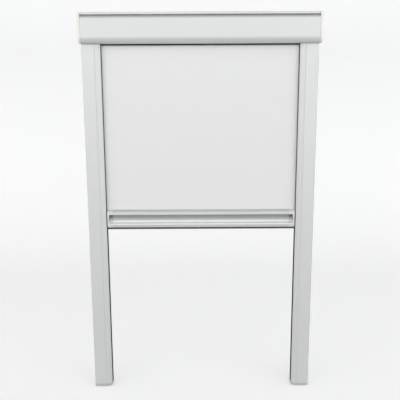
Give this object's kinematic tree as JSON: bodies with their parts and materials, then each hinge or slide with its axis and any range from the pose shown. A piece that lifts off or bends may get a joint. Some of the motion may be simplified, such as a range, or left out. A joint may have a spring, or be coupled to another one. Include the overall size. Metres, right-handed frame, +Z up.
{
  "type": "skylight window blind",
  "caption": "Cassette roller blind for a roof window: spring roller in a headbox, two side rails, a blackout cloth and a hand bar that slides in the rails and stays at any height.",
  "frame": {"origin": "Middle of the base, under the two rail feet: halfway between the rails, halfway between the front and the back of the headbox.", "axes": "+Z up the rails to the headbox, -Y out of the front towards the room, +X to the right as seen from the room."},
  "size_m": [0.488, 0.042, 0.818],
  "materials": {
    "anodised_aluminium": "satin anodised",
    "mill_aluminium": "mill",
    "cream_plastic": "fine moulded texture",
    "grey_plastic": "fine moulded texture",
    "white_plastic": "moulded",
    "blackout_cloth": "coated blackout weave",
    "pile": "dark brush pile",
    "rubber": "matt",
    "steel": "zinc plated",
    "felt": "felt"
  },
  "bodies": {
    "frame": {"headbox_back": "anodised_aluminium", "headbox_cover": "anodised_aluminium", "headbox_seal": "pile", "headbox_end_cap_right": "cream_plastic", "headbox_end_cap_left": "cream_plastic", "end_cap_screw_1_right": "steel", "end_cap_screw_1_left": "steel", "end_cap_screw_2_right": "steel", "end_cap_screw_2_left": "steel", "idle_bearing": "white_plastic", "spring_shaft": "steel", "spring_anchor": "white_plastic", "torsion_spring": "steel", "rail_base_right": "anodised_aluminium", "rail_base_left": "anodised_aluminium", "rail_cover_right": "anodised_aluminium", "rail_cover_left": "anodised_aluminium", "rail_foot_right": "grey_plastic", "rail_foot_left": "grey_plastic", "rail_connector_right": "white_plastic", "rail_connector_left": "white_plastic", "connector_screw_right": "steel", "connector_screw_left": "steel", "rail_seal_back_right": "pile", "rail_seal_back_left": "pile", "rail_seal_front_right": "pile", "rail_seal_front_left": "pile"},
    "roller": {"roller_tube": "mill_aluminium", "fabric_roll": "blackout_cloth", "tube_end_plug": "white_plastic", "idle_plug": "white_plastic", "idle_pin": "steel", "spring_plug": "white_plastic"},
    "bar": {"bar_profile": "anodised_aluminium", "bar_end_cap_right": "grey_plastic", "bar_end_cap_left": "grey_plastic", "bar_seal": "rubber", "fabric_spline": "white_plastic", "fabric_sheet": "blackout_cloth", "bar_glide_right": "white_plastic", "bar_glide_left": "white_plastic", "brake_pad_right": "felt", "brake_pad_left": "felt", "brake_spring_right": "steel", "brake_spring_left": "steel", "brake_stop_right": "white_plastic", "brake_stop_left": "white_plastic"}
  },
  "joints": [
    {"name": "bar_slide", "type": "slide", "parent": "frame", "child": "bar", "axis": [0, 0, 1], "range_m": [-0.357, 0.342], "deforming": ["fabric_sheet"]},
    {"name": "roller_spin", "type": "hinge", "parent": "frame", "child": "roller", "pos_m": [0, -0.00175, 0.787], "axis": [1, 0, 0], "range_deg": [-1547, 1484]}
  ],
  "couplings": [
    {"joint": "roller_spin", "follows": "bar_slide", "rad_per_m": 74.3}
  ]
}
